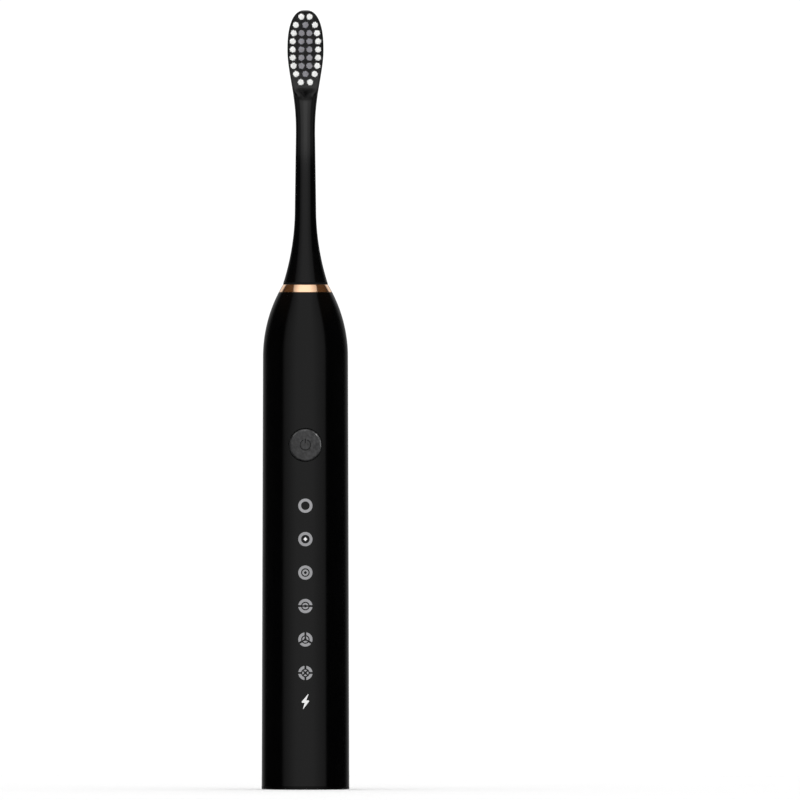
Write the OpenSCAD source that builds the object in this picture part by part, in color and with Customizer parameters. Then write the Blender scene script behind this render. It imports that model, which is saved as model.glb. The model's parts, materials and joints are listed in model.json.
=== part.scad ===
// Sonic toothbrush: round handle with a magnet-driven shaft and a pull-off brush head.
// Millimetres. Origin at the centre of the base, +Z along the handle, the front faces -Y.

/* [Handle] */
// Radius of the handle at its base
handle_base_r = 13.6; // [13.5:0.05:13.7]
// Radius of the handle where the shoulder starts
handle_top_r = 13.2; // [13.1:0.05:13.3]
// Height at which the shoulder starts
shoulder_z = 134; // [133.6:0.2:134.4]
// Radius of the arc that draws the shoulder in
shoulder_arc_r = 43.3; // [43:0.1:43.6]
// Height of the shell's top edge
shell_top_z = 154; // [153.8:0.1:154.1]
// Wall thickness of the shell
shell_wall = 1.6; // [1.5:0.05:1.65]

/* [Controls] */
// Height of the power button's centre
button_z = 106.7; // [106.2:0.1:106.9]
// Radius of the power button
button_r = 5.05; // [4.9:0.05:5.1]
// How far the button stands out of the shell
button_proud = 0.3; // [0.2:0.05:0.4]
// Height of the top mode symbol
first_icon_z = 87.9; // [87.5:0.1:88.2]
// Distance between mode symbols
icon_pitch = 10.35; // [10.3:0.01:10.4]
// Outer radius of a mode symbol
icon_r = 2.2; // [2.15:0.05:2.3]

/* [Brush head] */
// Height of the brush head's lower edge
head_base_z = 156.95; // [156.9:0.05:157]
// Height of the brush head's tip
head_tip_z = 241.4; // [240.8:0.2:241.8]
// Half width of the brush head at its widest
head_r = 5.6; // [5.5:0.05:5.7]
// Half thickness of the bristle plate
plate_half = 2.3; // [2.2:0.05:2.4]
// Height of the bristles above the plate
bristle_h = 9.4; // [9:0.1:9.8]
// Distance between tuft rows
tuft_pitch = 2.53; // [2.5:0.01:2.54]

/* [Drive] */
// Radius of the drive shaft
shaft_r = 1.5; // [1.48:0.01:1.52]
// Height of the drive shaft's top
shaft_top_z = 184.2; // [183.8:0.1:184.3]
// Radius of the blind charging well in the base
well_r = 4.5; // [4.4:0.05:4.55]
// Depth of the charging well
well_depth = 10; // [9.8:0.1:10]

/* [Hidden] */
$fn = 96;
fit_gap = 0.05;              // running and seating clearance
cap_flange_h = 0.9;          // rim of the bottom cap under the shell
shell_base_z = cap_flange_h + fit_gap;
lip_z = 152;                 // inner lip of the shell's neck
lip_bore_r = 6.2;
ring_z0 = shell_top_z + fit_gap;
ring_z1 = head_base_z - 0.6;
ring_seat_z = ring_z1 - 0.35;    // recess in the ring's top for the seal's rim
ring_seat_r = 6.3;
frame_gap = 0.25;            // between the shell's inside and the chassis
chassis_wall = 1.2;
chassis_inset = shell_wall + frame_gap;
chassis_front_y = -4.4;

icon_depth = 0.4;
icon_count = 6;
icon_band_in = 0.605 * icon_r;   // inside of the outer ring
icon_core_out = 0.44 * icon_r;   // inner ring
icon_core_in = 0.2 * icon_r;
icon_split = 0.6;                // cuts across the outer ring
icon_core_split = 0.45;
icon_z = [for (i = [0 : icon_count - 1]) first_icon_z - i * icon_pitch];
bolt_z = icon_z[icon_count - 1] - 8.9;
light_z = concat(icon_z, [bolt_z]);
charge_bolt = [[1, 2.35], [0.85, 2.35], [-1.15, 0], [-1.1, -0.3], [-0.2, -0.35],
    [-0.75, -2.2], [-0.6, -2.2], [1.15, 0.1], [1.1, 0.4], [0.25, 0.4]];

board_back_y = -4.65;
board_t = 0.8;
board_face_y = board_back_y - board_t;
board_w = 15;
board_z0 = 18;
board_z1 = 111;
board_screw_x = 5;
board_screw_z = [22, 96];

battery_y = 3.2;
battery_r = 6.85;
battery_z0 = 34;
battery_z1 = 84;

switch_travel = 0.4;
switch_top_y = board_face_y - 1.5;
plunger_tip_y = switch_top_y - 0.6;

motor_z0 = 112;
motor_z1 = 147;
motor_r = 8;
motor_wall = 0.6;
coil_z = 119;
pole_r = 5;
bearing_r = 2.45;

head_center_z = 229;
neck_low_z = 180;
neck_low_r = 3.3;
neck_top_z = 203;
neck_top_r = 2.97;
skirt_arc_r = 76.5;
hub_r = 2.25;
hub_z0 = 163.2;
hub_z1 = 185.2;
shaft_flat_y = 1.1;          // flat that keys the hub to the shaft
shaft_flat_z0 = 168;
tuft_r = 0.82;
tuft_tip_r = 1.0;
tuft_depth = 2.8;
tuft_top_row_z = 239.2;
// Half spacings of the outer and inner tufts in each row, from the tip down; -1 means no pair
outer_tuft_x = [1.27, 2.95, 3.6, 3.93, 3.93, 3.9, 3.67, 2.85, 1.42];
inner_tuft_x = [-1, 0, 1.2, 1.25, 1.25, 1.25, 1.22, 0, -1];

// ---------- shared shapes ----------

// Half section of the handle's outer form, drawn in by inset, between two heights
module handle_half(inset, z0, z1) {
    intersection() {
        union() {
            polygon([[0, 0], [handle_base_r - inset, 0], [handle_top_r - inset, shoulder_z],
                [0, shoulder_z]]);
            intersection() {
                translate([handle_top_r - shoulder_arc_r, shoulder_z])
                    circle(r = shoulder_arc_r - inset, $fn = 360);
                translate([0, shoulder_z])
                    square([2 * handle_base_r, 30]);
            }
        }
        translate([0, z0])
            square([2 * handle_base_r, z1 - z0]);
    }
}

module handle_solid(inset, z0, z1) {
    rotate_extrude($fn = 180)
        handle_half(inset, z0, z1);
}

module tube(r_out, r_in, z0, z1) {
    translate([0, 0, z0])
        difference() {
            cylinder(r = r_out, h = z1 - z0);
            translate([0, 0, -1])
                cylinder(r = r_in, h = z1 - z0 + 2);
        }
}

// A box given by its lowest and highest corners
module span(low, high) {
    translate(low)
        cube(high - low);
}

// Cylinder along Y between two depths
module rod_y(r, x, z, y0, y1) {
    translate([x, y1, z])
        rotate([90, 0, 0])
            cylinder(r = r, h = y1 - y0);
}

// A flat symbol at height z, pushed through the front of the handle
module through_front(z) {
    translate([0, 0, z])
        rotate([90, 0, 0])
            linear_extrude(height = 2 * handle_base_r)
                children();
}

function unit(v) = v / norm(v);

function catmull(a, b, c, d, t) =
    0.5 * (2 * b + (c - a) * t + (2 * a - 5 * b + 4 * c - d) * t * t + (3 * b - a - 3 * c + d) * t * t * t);

// A smooth run of points through the given ones, steps for each stretch
function smooth_path(p, steps) =
    concat([for (i = [0 : len(p) - 2]) for (k = [0 : steps - 1])
        catmull(p[max(i - 1, 0)], p[i], p[i + 1], p[min(i + 2, len(p) - 1)], k / steps)],
        [p[len(p) - 1]]);

// A round wire swept along points; side is any direction that the wire never runs along
module wire(points, r, side = [1, 0, 0], sides = 8) {
    path = smooth_path(points, 5);
    last = len(path) - 1;
    rings = [for (i = [0 : last])
        let (t = unit(path[min(i + 1, last)] - path[max(i - 1, 0)]),
             u = unit(cross(t, side)),
             v = cross(t, u))
        for (k = [0 : sides - 1])
            path[i] + r * (cos(k * 360 / sides) * u + sin(k * 360 / sides) * v)];
    skin = [for (i = [0 : last - 1]) for (k = [0 : sides - 1])
        [i * sides + k, i * sides + (k + 1) % sides, (i + 1) * sides + (k + 1) % sides, (i + 1) * sides + k]];
    start_cap = [[for (k = [0 : sides - 1]) sides - 1 - k]];
    end_cap = [[for (k = [0 : sides - 1]) last * sides + k]];
    polyhedron(points = rings, faces = concat(skin, start_cap, end_cap), convexity = 4);
}

// ---------- handle shell, ring and symbols ----------

// Ring with a band cut across it at each angle
module split_ring(r_out, r_in, gap, angles) {
    difference() {
        circle(r = r_out);
        circle(r = r_in);
        for (a = angles)
            rotate(a)
                translate([0, -gap / 2])
                    square([2 * r_out, gap]);
    }
}

// Outer ring of a mode symbol; grow enlarges it for the pocket that it sits in
module symbol_band(angles, grow) {
    split_ring(icon_r + grow, icon_band_in - grow, icon_split - 2 * grow, angles);
}

module symbol_core(angles, grow) {
    split_ring(icon_core_out + grow, icon_core_in - grow, icon_core_split - 2 * grow, angles);
}

// Mode symbols 1 to 6
module mode_symbol(n, grow = 0) {
    if (n <= 2)
        symbol_band([], grow);
    if (n == 3) {
        symbol_band([], grow);
        symbol_core([], grow);
    }
    if (n == 4) {
        symbol_band([0, 180], grow);
        symbol_core([0, 180], grow);
    }
    if (n == 5) {
        symbol_band([90, 210, 330], grow);
        symbol_core([90, 210, 330], grow);
    }
    if (n == 6) {
        symbol_band([0, 90, 180, 270], grow);
        symbol_core([45, 135, 225, 315], grow);
    }
}

// Small diamond in the middle of symbol 2
module diamond_symbol(grow = 0) {
    circle(r = 0.62 + 1.4 * grow, $fn = 4);
}

module bolt_symbol(size = 1) {
    scale(size)
        polygon(charge_bolt);
}

// The outer skin of the handle round a height, depth thick
module skin_band(z, depth) {
    difference() {
        handle_solid(0, z - 4, z + 4);
        handle_solid(depth, z - 5, z + 5);
    }
}

module icon_inlay(n) {
    color("#b4b4b6")
        intersection() {
            skin_band(icon_z[n - 1], icon_depth);
            through_front(icon_z[n - 1])
                mode_symbol(n);
        }
}

module handle_shell() {
    pocket_depth = icon_depth + fit_gap;
    color("#161616")
        difference() {
            handle_solid(0, shell_base_z, shell_top_z);
            handle_solid(shell_wall, 0.5, lip_z);
            translate([0, 0, lip_z - 1])
                cylinder(r = lip_bore_r, h = 5);
            rod_y(button_r + 0.2, 0, button_z, -2 * handle_base_r, -8);
            for (n = [1 : icon_count])
                difference() {
                    through_front(icon_z[n - 1])
                        mode_symbol(n, fit_gap);
                    handle_solid(pocket_depth, icon_z[n - 1] - 5, icon_z[n - 1] + 5);
                }
            difference() {
                through_front(icon_z[1])
                    diamond_symbol(fit_gap);
                handle_solid(pocket_depth, icon_z[1] - 5, icon_z[1] + 5);
            }
            difference() {
                through_front(bolt_z)
                    bolt_symbol(1.05);
                handle_solid(pocket_depth, bolt_z - 5, bolt_z + 5);
            }
        }
}

module trim_ring() {
    color("#b07c4a")
        difference() {
            union() {
                handle_solid(0, ring_z0, ring_z1);
                translate([0, 0, lip_z + 0.1])
                    cylinder(r = lip_bore_r - fit_gap, h = ring_z0 - lip_z);
            }
            translate([0, 0, lip_z - 1])
                cylinder(r = 5.4, h = 10);
            translate([0, 0, ring_seat_z])
                cylinder(r = ring_seat_r, h = 2);
        }
}

module mode_icon_1() { icon_inlay(1); }

module mode_icon_2() { icon_inlay(2); }

module mode_icon_2_center() {
    color("#f0f0f0")
        intersection() {
            skin_band(icon_z[1], icon_depth);
            through_front(icon_z[1])
                diamond_symbol();
        }
}

module mode_icon_3() { icon_inlay(3); }

module mode_icon_4() { icon_inlay(4); }

module mode_icon_5() { icon_inlay(5); }

module mode_icon_6() { icon_inlay(6); }

module charge_icon() {
    color("#f0f0f0")
        intersection() {
            skin_band(bolt_z, icon_depth);
            through_front(bolt_z)
                bolt_symbol();
        }
}

// ---------- button and switch ----------

// Broken ring and bar, the usual sign for on and off
module power_symbol() {
    split_ring(1.75, 1.4, 1.3, [90]);
    translate([-0.18, 0.5])
        square([0.36, 1.5]);
}

module power_button() {
    color("#474749")
        difference() {
            union() {
                intersection() {
                    handle_solid(-button_proud, button_z - 8, button_z + 8);
                    rod_y(button_r, 0, button_z, -2 * handle_base_r, -9.2);
                }
                rod_y(6.1, 0, button_z, -9.75, -9);
                rod_y(1.4, 0, button_z, -9.1, plunger_tip_y - fit_gap);
            }
            difference() {
                through_front(button_z)
                    power_symbol();
                handle_solid(-button_proud / 2, button_z - 5, button_z + 5);
            }
        }
}

module button_seal() {
    color("#303030")
        difference() {
            rod_y(7.3, 0, button_z, -8.25, -7.75);
            rod_y(1.4 + fit_gap, 0, button_z, -9, -7);
            span([-9, -9, button_z + 4.2], [9, -7, button_z + 9]);
        }
}

module switch_body() {
    color("#2a2a2c")
        difference() {
            span([-3, switch_top_y, button_z - 3], [3, board_face_y, button_z + 3]);
            rod_y(1.2 + fit_gap, 0, button_z, switch_top_y - 1, board_face_y - 0.15);
        }
}

module switch_plunger() {
    color("#d8d8d8")
        rod_y(1.2, 0, button_z, plunger_tip_y, board_face_y - 0.15 - switch_travel - 0.1);
}

// ---------- lights and circuit board ----------

module light_baffle() {
    color("#202020")
        difference() {
            intersection() {
                span([-4.6, -11.4, bolt_z - 3.8], [4.6, board_face_y - 0.1, first_icon_z + 3.8]);
                cylinder(r = 11.4, h = shoulder_z);
            }
            span([-4.05, -7.1, bolt_z - 3.2], [4.05, board_face_y + 1, first_icon_z + 3.2]);
            for (z = light_z)
                rod_y(2.5, 0, z, -13, -6);
        }
}

module light_guide() {
    color("#dfe6ea", 0.6)
        intersection() {
            cylinder(r = 11.4, h = shoulder_z);
            union() {
                span([-4, -7.05, bolt_z - 3.1], [4, -6.4, first_icon_z + 3.1]);
                for (z = light_z)
                    rod_y(2.45, 0, z, -12, -6.9);
            }
        }
}

module circuit_board() {
    color("#1f5a36")
        difference() {
            span([-board_w / 2, board_face_y, board_z0], [board_w / 2, board_back_y, board_z1]);
            for (x = [-board_screw_x, board_screw_x], z = board_screw_z)
                rod_y(0.85, x, z, -8, -3);
        }
}

module controller_chip() {
    color("#18181a")
        union() {
            span([-2, board_face_y - 1, 98.2], [2, board_face_y - 0.1, 102.2]);
            for (s = [-1, 1], k = [0 : 4])
                span([s * 2.3 - 0.35, board_face_y - 0.4, 98.4 + k * 0.8],
                    [s * 2.3 + 0.35, board_face_y, 98.8 + k * 0.8]);
        }
}

module board_components() {
    color("#8a7458")
        union() {
            for (s = [-1, 1], z = [30 : 9 : 84])
                span([s * 6.1 - 0.8, board_face_y - 0.6, z], [s * 6.1 + 0.8, board_face_y, z + 0.9]);
            span([-1.6, board_face_y - 1.1, 19], [1.6, board_face_y, 22]);
            span([5.2, board_face_y - 1.4, 104], [7, board_face_y, 108]);
        }
}

module mode_leds() {
    color("#f2efe2")
        for (z = light_z)
            span([-0.8, board_face_y - 0.7, z - 0.8], [0.8, board_face_y, z + 0.8]);
}

module board_screws() {
    color("#a8a8aa")
        for (x = [-board_screw_x, board_screw_x], z = board_screw_z)
            union() {
                rod_y(1.4, x, z, board_face_y - 0.8, board_face_y - 0.02);
                rod_y(0.75, x, z, board_face_y - 0.1, -2);
            }
}

// ---------- chassis and battery ----------

// Bulkhead of the chassis between two heights
module bulkhead(z0, z1) {
    intersection() {
        handle_solid(chassis_inset, z0, z1);
        span([-20, chassis_front_y, z0 - 1], [20, 20, z1 + 1]);
    }
}

module chassis() {
    color("#3a3c40")
        difference() {
            union() {
                difference() {
                    bulkhead(12, 144);
                    handle_solid(chassis_inset + chassis_wall, 11, 145);
                }
                for (z = [12, 31, 48, 66, 86.6, 110])
                    bulkhead(z, z + 1.2);
                for (z = [116.5, 137.5])
                    bulkhead(z, z + 2);
                for (s = [-1, 1])
                    span([s * 8.25 - 1.75, -4.6, board_z0], [s * 8.25 + 1.75, -3.5, board_z1]);
                for (z = board_screw_z)
                    span([-9, -4.6, z - 4], [9, -1.6, z + 4]);
            }
            translate([0, battery_y, 47])
                cylinder(r = battery_r + 0.25, h = 21);
            tube(30, 9.35, 111.3, 111.4);
            translate([0, 0, 111.2])
                cylinder(r = 9.35, h = 40);
            translate([0, 0, 109])
                cylinder(r = 3, h = 4);
            for (x = [-board_screw_x, board_screw_x], z = board_screw_z)
                rod_y(0.8, x, z, -6, -1);
            // Notches that let the battery leads past the cell's bulkheads
            span([1.6, -5, 86], [4.4, -1.9, 88.4]);
            span([-4.4, -5, 30.4], [-1.6, -1.9, 32.8]);
        }
}

module motor_clamp() {
    color("#3a3c40")
        difference() {
            intersection() {
                handle_solid(chassis_inset, 114, 143);
                span([-20, -20, 113], [20, chassis_front_y - 0.1, 144]);
            }
            translate([0, 0, 113])
                cylinder(r = 9.35, h = 31);
        }
}

module battery_cell() {
    color("#c8c8cc")
        translate([0, battery_y, 0])
            union() {
                translate([0, 0, battery_z0])
                    cylinder(r = battery_r, h = battery_z1 - battery_z0);
                translate([0, 0, battery_z1 - 0.1])
                    cylinder(r = 2.5, h = 1);
            }
}

module battery_wrap() {
    color("#2f6fa8")
        translate([0, battery_y, 0])
            tube(battery_r + 0.16, battery_r + 0.03, battery_z0 + 0.2, battery_z1 - 0.2);
}

module battery_tabs() {
    color("#b9b5aa")
        union() {
            span([-2, -4.1, 85], [2, 5, 85.2]);
            span([-2, -4.1, 85], [2, -3.9, 86.2]);
            span([-2, -4.1, 33.75], [2, 5, 33.95]);
            span([-2, -4.1, 32.6], [2, -3.9, 33.95]);
        }
}

module battery_pad() {
    color("#4a4a4a")
        translate([0, battery_y + 3, 32.3])
            difference() {
                cylinder(r = 3.6, h = 1.3);
                translate([0, 0, -1])
                    cylinder(r = 1.2, h = 4);
            }
}

module battery_leads() {
    color("#a02020")
        union() {
            wire([[1, -3, 85.6], [2.4, -2.6, 86.6], [3.6, -2.9, 88.4], [4.4, -4.2, 90.6]], 0.35);
            wire([[-1, -3, 33.3], [-2.4, -2.6, 32.6], [-3.8, -3, 30.2], [-4.4, -4.2, 28.6]], 0.35);
        }
}

// ---------- motor ----------

module motor_housing() {
    color("#a9adb1")
        tube(motor_r, motor_r - motor_wall, motor_z0, motor_z1);
}

module motor_rear_cap() {
    color("#2c2c2e")
        difference() {
            translate([0, 0, motor_z0 + 0.1])
                cylinder(r = motor_r - motor_wall - fit_gap, h = 1.4);
            for (s = [-1, 1])
                translate([s * 1.6, 0, motor_z0 - 1])
                    cylinder(r = 0.6, h = 4);
        }
}

module motor_front_cap() {
    color("#2c2c2e")
        difference() {
            union() {
                translate([0, 0, motor_z1 - 2])
                    cylinder(r = motor_r - motor_wall - fit_gap, h = 2.1);
                translate([0, 0, motor_z1 + 0.05])
                    cylinder(r = motor_r, h = 0.9);
            }
            translate([0, 0, motor_z1 - 3])
                cylinder(r = bearing_r + fit_gap, h = 5);
        }
}

module stator_core() {
    arm_top = 143.5;
    color("#6d7176")
        difference() {
            intersection() {
                translate([0, 0, coil_z - 2])
                    cylinder(r = motor_r - motor_wall - 0.1, h = arm_top - coil_z + 2);
                union() {
                    span([-8, -2, coil_z - 2], [8, 2, coil_z + 2]);
                    for (s = [-1, 1])
                        span([s * 6.5 - 1.5, -4.5, coil_z - 2], [s * 6.5 + 1.5, 4.5, arm_top]);
                }
            }
            translate([0, 0, 124])
                cylinder(r = pole_r + 0.05, h = 30);
        }
}

// Round section along X, centred on the coil's axis
module rod_x(r, half) {
    translate([-half, 0, coil_z])
        rotate([0, 90, 0])
            cylinder(r = r, h = 2 * half);
}

module coil_bobbin() {
    flange_r = 4.5;
    flange_out = 4.9;
    flange_in = 4.3;
    color("#d9cfa8")
        difference() {
            union() {
                span([-flange_out, -2.65, coil_z - 2.65], [flange_out, 2.65, coil_z + 2.65]);
                difference() {
                    rod_x(flange_r, flange_out);
                    rod_x(flange_r + 1, flange_in);
                }
            }
            span([-6, -2.05, coil_z - 2.05], [6, 2.05, coil_z + 2.05]);
        }
}

module motor_coil() {
    color("#b5622e")
        difference() {
            rod_x(4.3, 4.25);
            span([-6, -2.7, coil_z - 2.7], [6, 2.7, coil_z + 2.7]);
        }
}

module rotor_support() {
    color("#2c2c2e")
        difference() {
            intersection() {
                translate([0, 0, 126.5])
                    cylinder(r = motor_r - motor_wall - 0.1, h = 2);
                span([-4.9, -8, 126], [4.9, 8, 129]);
            }
            translate([0, 0, 126])
                cylinder(r = bearing_r + fit_gap, h = 3);
        }
}

module front_bearing() {
    color("#b08d57")
        tube(bearing_r, shaft_r + fit_gap, motor_z1 - 2.5, motor_z1 + 1.2);
}

module rear_bearing() {
    color("#b08d57")
        tube(bearing_r, shaft_r + fit_gap, 126, 129);
}

module motor_dampers() {
    color("#242424")
        for (z = [116, 137])
            tube(9.3, motor_r + fit_gap, z, z + 3);
}

module motor_leads() {
    color("#c9a227")
        for (s = [-1, 1])
            wire([[s * 1.6, 0, 112], [s * 1.6, 0, 109.5], [s * 2.2, -1.6, 106.6], [s * 2.6, -4.2, 104.6]],
                0.35);
}

// ---------- nose of the handle ----------

module nose_collar() {
    color("#1c1c1c")
        rotate_extrude()
            polygon([[4, 148.2], [7.3, 148.2], [7.3, 151.9], [7.2, 151.9], [7.2, 151.15], [6.3, 151.15],
                [6.3, 151.9], [5.35, 151.9], [5.35, ring_seat_z - fit_gap], [5, ring_seat_z - fit_gap],
                [5, 157.2], [4, 157.2]]);
}

module neck_o_ring() {
    color("#5a2a20")
        rotate_extrude()
            translate([6.75, 151.57])
                circle(r = 0.4, $fn = 32);
}

// Silicone boot: a sleeve in the collar, a rim over the trim ring and a ribbed dome round the shaft
module shaft_seal() {
    rim_z = ring_seat_z + fit_gap;
    rim_r = ring_seat_r - fit_gap;
    lap_r = 6.9;
    lap_z = ring_z1 + fit_gap;
    lap_top = head_base_z - 0.1;
    color("#4d4d50")
        rotate_extrude()
            polygon([[3.1, 151], [3.95, 151], [3.95, 157.25], [5.05, 157.25], [5.05, rim_z], [rim_r, rim_z],
                [rim_r, lap_z], [lap_r, lap_z], [lap_r, lap_top], [5.55, lap_top], [5.55, 157.35],
                [5.2, 157.65], [4.5, 157.95], [4.5, 158.35], [3.9, 158.75], [3.9, 159.15],
                [3.2, 159.6], [3.2, 160.1], [2.3, 161], [shaft_r + fit_gap, 161],
                [shaft_r + fit_gap, 160.2], [2.4, 159.4], [3.1, 157.6]]);
}

// ---------- base and charging ----------

module bottom_cap() {
    mouth = 0.5;
    color("#161616")
        rotate_extrude()
            polygon([[well_r + mouth, 0], [handle_base_r - 0.4, 0], [handle_base_r, 0.4],
                [handle_base_r, cap_flange_h], [11.85, cap_flange_h], [11.85, 4.5], [10.65, 4.5],
                [10.65, 5.9], [11.85, 5.9], [11.85, 8.3], [11.65, 8.5], [9.6, 8.5], [9.6, 1.6],
                [5.5, 1.6], [5.5, well_depth + 1], [0, well_depth + 1], [0, well_depth],
                [well_r, well_depth], [well_r, mouth]]);
}

module cap_o_ring() {
    color("#5a2a20")
        rotate_extrude()
            translate([11.3, 5.2])
                circle(r = 0.6, $fn = 32);
}

module charging_coil_former() {
    color("#d9cfa8")
        union() {
            tube(6.1, 5.55, 1.7, 9.7);
            tube(9.3, 5.55, 1.7, 2.3);
            tube(9.3, 5.55, 9.1, 9.7);
        }
}

module charging_coil() {
    color("#b5622e")
        tube(8.9, 6.15, 2.35, 9.05);
}

module charging_leads() {
    color("#b5622e")
        for (s = [-1, 1])
            wire([[s * 6.5, -5, 9.8], [s * 6.6, -5.6, 12.4], [s * 5.9, -5.5, 15], [s * 5.2, -5.05, 17.9]],
                0.3);
}

// ---------- rotor ----------

module drive_shaft() {
    color("#c4c7ca")
        difference() {
            union() {
                translate([0, 0, 124.6])
                    cylinder(r = shaft_r, h = shaft_top_z - 0.4 - 124.6);
                translate([0, 0, shaft_top_z - 0.4])
                    cylinder(r1 = shaft_r, r2 = shaft_r - 0.35, h = 0.4);
            }
            tube(4, 1.2, 148.6, 149.4);
            span([-4, shaft_flat_y, shaft_flat_z0], [4, 4, shaft_top_z + 1]);
        }
}

module rotor_core() {
    color("#6d7176")
        tube(3.2, shaft_r + fit_gap, 130, 143);
}

module rotor_magnets() {
    color("#9da3a8")
        difference() {
            tube(4.6, 3.25, 130.5, 142.5);
            for (a = [0, 90])
                rotate([0, 0, a])
                    span([-8, -0.5, 129], [8, 0.5, 144]);
        }
}

module retaining_clip() {
    color("#8d9094")
        difference() {
            tube(2.8, 1.25, 148.65, 149.35);
            span([-0.9, -4, 148], [0.9, 0, 150]);
        }
}

// ---------- brush head ----------

function smooth(t) = t * t * (3 - 2 * t);

// Half width of the head above the neck
function head_half(z) = z < head_center_z
    ? neck_top_r + (head_r - neck_top_r) * smooth(pow((z - neck_top_z) / (head_center_z - neck_top_z), 1.3))
    : head_r * pow(max(0, 1 - pow((z - head_center_z) / (head_tip_z - head_center_z), 2.4)), 1 / 2.4);

// Half section of the skirt that widens towards the handle, drawn in by inset
module skirt_half(inset, z0, z1) {
    difference() {
        translate([0, z0])
            square([8, z1 - z0]);
        translate([neck_low_r + skirt_arc_r, neck_low_z])
            circle(r = skirt_arc_r + inset, $fn = 360);
    }
}

module head_form() {
    rise = [for (i = [0 : 13]) neck_top_z + i * (head_center_z - neck_top_z) / 14];
    dome = [for (i = [0 : 12]) head_center_z + (head_tip_z - head_center_z) * sin(i * 90 / 12)];
    rotate_extrude()
        union() {
            skirt_half(0, head_base_z, neck_low_z);
            polygon([[0, neck_low_z], [neck_low_r, neck_low_z], [neck_top_r, neck_top_z], [0, neck_top_z]]);
            polygon(concat([[0, neck_top_z]], [for (z = concat(rise, dome)) [head_half(z), z]]));
        }
}

// Side outline that flattens the head: [depth, height], front first and negative
module head_side() {
    flat_z = 216;
    bend = [for (i = [0 : 6]) i / 6];
    front = [for (t = bend) [-3.3 + (3.3 - plate_half) * smooth(t), 206 + (flat_z - 206) * t]];
    back = [for (t = bend) [3.3 - (3.3 - plate_half) * smooth(1 - t), flat_z - (flat_z - 206) * t]];
    nose = [for (a = [90 : -15 : 0]) [-plate_half + 1.6 * (1 - sin(a)), head_tip_z - 1.6 + 1.6 * cos(a)]];
    tail = [for (a = [0 : 15 : 90]) [plate_half - 2.2 * (1 - sin(a)), head_tip_z - 2.4 + 2.4 * cos(a)]];
    polygon(concat([[-9, 150], [-9, 186], [-3.3, 200]], front, nose, tail, back,
        [[3.3, 200], [9, 186], [9, 150]]));
}

// Every tuft of one kind as a child placed at the hole's mouth, pointing out of the plate
module at_tufts(half_x) {
    for (row = [0 : len(half_x) - 1])
        if (half_x[row] >= 0)
            for (s = half_x[row] > 0 ? [-1, 1] : [1])
                translate([s * half_x[row], -plate_half, tuft_top_row_z - row * tuft_pitch])
                    rotate([90, 0, 0])
                        children();
}

module brush_head_body() {
    color("#1a1a1b")
        difference() {
            intersection() {
                head_form();
                rotate([90, 0, 90])
                    translate([0, 0, -9])
                        linear_extrude(height = 18)
                            head_side();
            }
            rotate_extrude()
                skirt_half(0.9, head_base_z - 1, hub_z0 - 0.1);
            translate([0, 0, hub_z0 - 0.5])
                cylinder(r = hub_r + fit_gap, h = hub_z1 - hub_z0 + 0.6);
            at_tufts(outer_tuft_x)
                translate([0, 0, -tuft_depth])
                    cylinder(r = tuft_r + 0.03, h = 5, $fn = 32);
            at_tufts(inner_tuft_x)
                translate([0, 0, -tuft_depth])
                    cylinder(r = tuft_r + 0.03, h = 5, $fn = 32);
        }
}

module brush_hub() {
    color("#5d6166")
        difference() {
            translate([0, 0, hub_z0])
                cylinder(r = hub_r, h = hub_z1 - hub_z0);
            difference() {
                translate([0, 0, hub_z0 - 1])
                    cylinder(r = shaft_r + fit_gap, h = shaft_top_z - hub_z0 + 1.3);
                span([-4, shaft_flat_y + fit_gap, shaft_flat_z0 + 0.4], [4, 4, shaft_top_z + 5]);
            }
            span([-1, 1, 171.8], [1, 4, 180.2]);
        }
}

module hub_clip() {
    color("#c4c7ca")
        union() {
            span([-0.9, 1.2, 172], [0.9, 1.45, 180]);
            span([-0.9, 1.4, 172], [0.9, 2.1, 172.25]);
        }
}

// One tuft: a round bundle that widens a little towards its tips, slotted for its anchor
module tuft() {
    difference() {
        union() {
            translate([0, 0, -tuft_depth + 0.1])
                cylinder(r = tuft_r, h = tuft_depth, $fn = 32);
            cylinder(r1 = tuft_r, r2 = tuft_tip_r, h = bristle_h, $fn = 32);
        }
        translate([-1, -0.18, -tuft_depth - 1])
            cube([2, 0.36, 2.4]);
    }
}

module outer_tufts() {
    color("#f4f4f4")
        at_tufts(outer_tuft_x)
            tuft();
}

module inner_tufts() {
    color("#8c8a94")
        at_tufts(inner_tuft_x)
            tuft();
}

module anchor() {
    translate([-0.75, -0.13, -tuft_depth + 0.05])
        cube([1.5, 0.26, 1.3]);
}

module tuft_anchors() {
    color("#c9b46a")
        union() {
            at_tufts(outer_tuft_x)
                anchor();
            at_tufts(inner_tuft_x)
                anchor();
        }
}

handle_shell();
trim_ring();
mode_icon_1();
mode_icon_2();
mode_icon_2_center();
mode_icon_3();
mode_icon_4();
mode_icon_5();
mode_icon_6();
charge_icon();
button_seal();
light_baffle();
light_guide();
chassis();
motor_clamp();
circuit_board();
controller_chip();
board_components();
mode_leds();
switch_body();
board_screws();
battery_cell();
battery_wrap();
battery_tabs();
battery_pad();
battery_leads();
motor_housing();
motor_rear_cap();
motor_front_cap();
stator_core();
coil_bobbin();
motor_coil();
rotor_support();
front_bearing();
rear_bearing();
motor_dampers();
motor_leads();
nose_collar();
neck_o_ring();
shaft_seal();
bottom_cap();
cap_o_ring();
charging_coil_former();
charging_coil();
charging_leads();
power_button();
switch_plunger();
drive_shaft();
rotor_core();
rotor_magnets();
retaining_clip();
brush_head_body();
brush_hub();
hub_clip();
outer_tufts();
inner_tufts();
tuft_anchors();
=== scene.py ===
import json
import math
import random

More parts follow.
